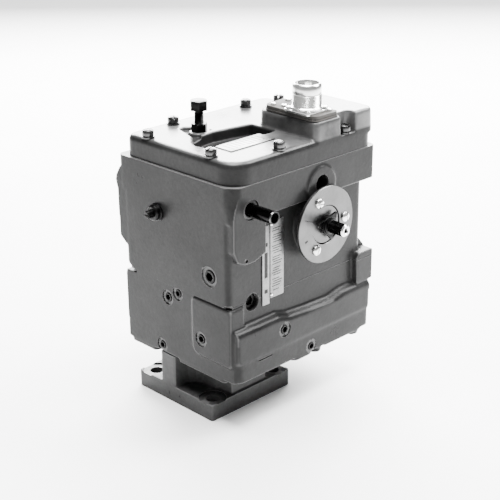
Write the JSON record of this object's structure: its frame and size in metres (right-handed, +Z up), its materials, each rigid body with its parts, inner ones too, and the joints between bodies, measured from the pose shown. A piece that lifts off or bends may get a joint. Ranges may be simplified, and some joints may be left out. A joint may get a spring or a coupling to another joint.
{
  "type": "hydraulic governor actuator",
  "caption": "Cast hydraulic governor actuator on a square drive flange, with an output shaft and scale, speed setting screw, limit shaft and round connector.",
  "frame": {"origin": "centre of the bounding box at the underside of the base flange", "axes": "+Z up along the drive shaft, +X towards the output shaft and scale, -Y towards the needle valve"},
  "size_m": [0.2064, 0.215, 0.3236],
  "materials": {
    "case_paint": "semi-gloss grey paint over castings",
    "gasket": "dark gasket sheet",
    "dark_steel": "black-oxide steel, oiled",
    "steel": "ground steel",
    "bright_metal": "bright nickel plate",
    "scale_metal": "brushed, slightly matt",
    "plate_metal": "etched plate, satin",
    "bronze": "machined bronze",
    "seal_rubber": "oil-seal rubber",
    "winding": "lacquered copper wire",
    "sight_glass": "clear",
    "insert": "moulded insert"
  },
  "bodies": {
    "root": {"base_flange": "case_paint", "lower_case": "case_paint", "upper_case": "case_paint", "top_cover": "case_paint", "connector_plate": "case_paint", "blind_bearing_cap": "case_paint", "base_gasket": "gasket", "case_gasket": "gasket", "cover_gasket": "gasket", "torque_motor_yoke": "dark_steel", "upper_front_plug": "dark_steel", "lower_front_plug_1": "dark_steel", "lower_front_plug_2": "dark_steel", "lower_front_plug_3": "dark_steel", "lower_side_plug": "dark_steel", "idler_pin": "steel", "pump_cover": "steel", "drive_bearing": "steel", "speeder_lever_bracket": "steel", "power_cylinder_head": "steel", "needle_valve_bushing": "steel", "sight_glass_bezel": "steel", "connector_shell": "bright_metal", "scale_disc": "scale_metal", "seal_retainer": "scale_metal", "cover_nameplate": "plate_metal", "side_nameplate": "plate_metal", "terminal_front_bush": "bronze", "terminal_rear_bush": "bronze", "drive_oil_seal": "seal_rubber", "terminal_seal": "seal_rubber", "torque_motor_coil_left": "winding", "torque_motor_coil_right": "winding", "sight_glass": "sight_glass", "connector_insert": "insert"},
    "drive": {"drive_shaft": "steel", "pump_drive_gear": "steel", "pilot_sleeve": "steel", "ballhead": "steel"},
    "idler": {"pump_idler_gear": "steel"},
    "flyweight_right": {"flyweight_right": "bronze"},
    "flyweight_left": {"flyweight_left": "bronze"},
    "pilot_valve": {"pilot_plunger": "steel"},
    "speed_screw": {"speed_screw": "dark_steel"},
    "speed_locknut": {"speed_locknut": "dark_steel"},
    "speeder_lever": {"speeder_lever": "steel"},
    "speeder_plug": {"speeder_plug": "steel", "speeder_spring": "dark_steel"},
    "output": {"terminal_shaft": "dark_steel", "terminal_lever": "steel", "output_pointer": "dark_steel"},
    "power_piston": {"power_piston": "steel", "power_spring": "dark_steel"},
    "accumulator_1": {"accumulator_piston_1": "steel", "accumulator_spring_1": "dark_steel"},
    "accumulator_2": {"accumulator_piston_2": "steel", "accumulator_spring_2": "dark_steel"},
    "limit_shaft": {"limit_shaft": "dark_steel"},
    "needle_valve": {"needle_valve_screw": "dark_steel"},
    "armature": {"torque_armature": "steel"}
  },
  "joints": [
    {"name": "drive_turn", "type": "hinge", "parent": "root", "child": "drive", "pos_m": [-0.02225, -0.0355, 0], "axis": [0, 0, 1], "continuous": true},
    {"name": "idler_turn", "type": "hinge", "parent": "root", "child": "idler", "pos_m": [-0.04629, -0.05954, 0], "axis": [0, 0, 1], "continuous": true},
    {"name": "flyweight_right_swing", "type": "hinge", "parent": "drive", "child": "flyweight_right", "pos_m": [-0.00225, -0.0355, 0.172], "axis": [0, 1, 0], "range_deg": [0, 12]},
    {"name": "flyweight_left_swing", "type": "hinge", "parent": "drive", "child": "flyweight_left", "pos_m": [-0.04225, -0.0355, 0.172], "axis": [0, -1, 0], "range_deg": [0, 12]},
    {"name": "pilot_lift", "type": "slide", "parent": "root", "child": "pilot_valve", "axis": [0, 0, 1], "range_m": [0, 0.0027]},
    {"name": "speed_screw_turn", "type": "hinge", "parent": "root", "child": "speed_screw", "pos_m": [-0.03625, -0.0365, 0.2736], "axis": [0, 0, 1], "range_deg": [-720, 0]},
    {"name": "speed_locknut_turn", "type": "hinge", "parent": "root", "child": "speed_locknut", "pos_m": [-0.03625, -0.0365, 0.2736], "axis": [0, 0, 1], "range_deg": [0, 360]},
    {"name": "speeder_lever_tilt", "type": "hinge", "parent": "root", "child": "speeder_lever", "pos_m": [-0.05525, -0.0355, 0.232], "axis": [0, 1, 0], "range_deg": [0, 7.3]},
    {"name": "speeder_plug_slide", "type": "slide", "parent": "root", "child": "speeder_plug", "axis": [0, 0, 1], "range_m": [-0.0045, 0], "deforming": ["speeder_spring"]},
    {"name": "output_turn", "type": "hinge", "parent": "root", "child": "output", "pos_m": [-0.02225, 0.0235, 0.19], "axis": [1, 0, 0], "range_deg": [-11, 31]},
    {"name": "power_piston_slide", "type": "slide", "parent": "root", "child": "power_piston", "axis": [0, 0, 1], "range_m": [-0.0056, 0.0158], "deforming": ["power_spring"]},
    {"name": "accumulator_1_slide", "type": "slide", "parent": "root", "child": "accumulator_1", "axis": [0, 0, 1], "range_m": [0, 0.025], "stiffness_N_per_m": 900, "springref_m": -0.012, "deforming": ["accumulator_spring_1"]},
    {"name": "accumulator_2_slide", "type": "slide", "parent": "root", "child": "accumulator_2", "axis": [0, 0, 1], "range_m": [0, 0.025], "stiffness_N_per_m": 900, "springref_m": -0.012, "deforming": ["accumulator_spring_2"]},
    {"name": "limit_shaft_turn", "type": "hinge", "parent": "root", "child": "limit_shaft", "pos_m": [-0.02225, -0.07, 0.2272], "axis": [1, 0, 0], "range_deg": [0, 40]},
    {"name": "needle_valve_turn", "type": "hinge", "parent": "root", "child": "needle_valve", "pos_m": [-0.03625, -0.0955, 0.205], "axis": [0, 1, 0], "range_deg": [-720, 0]},
    {"name": "armature_tilt", "type": "hinge", "parent": "root", "child": "armature", "pos_m": [0.02175, 0.0615, 0.266], "axis": [0, 1, 0], "range_deg": [-2, 2], "stiffness_Nm_per_rad": 0.8}
  ],
  "couplings": [
    {"joint": "idler_turn", "follows": "drive_turn", "ratio": -1},
    {"joint": "flyweight_right_swing", "follows": "pilot_lift", "rad_per_m": 76.9},
    {"joint": "flyweight_left_swing", "follows": "pilot_lift", "rad_per_m": 76.9},
    {"joint": "speeder_lever_tilt", "follows": "speed_screw_turn", "ratio": -0.01},
    {"joint": "speeder_plug_slide", "follows": "speed_screw_turn", "m_per_rad": 0.00034},
    {"joint": "output_turn", "follows": "power_piston_slide", "rad_per_m": 34.13}
  ]
}
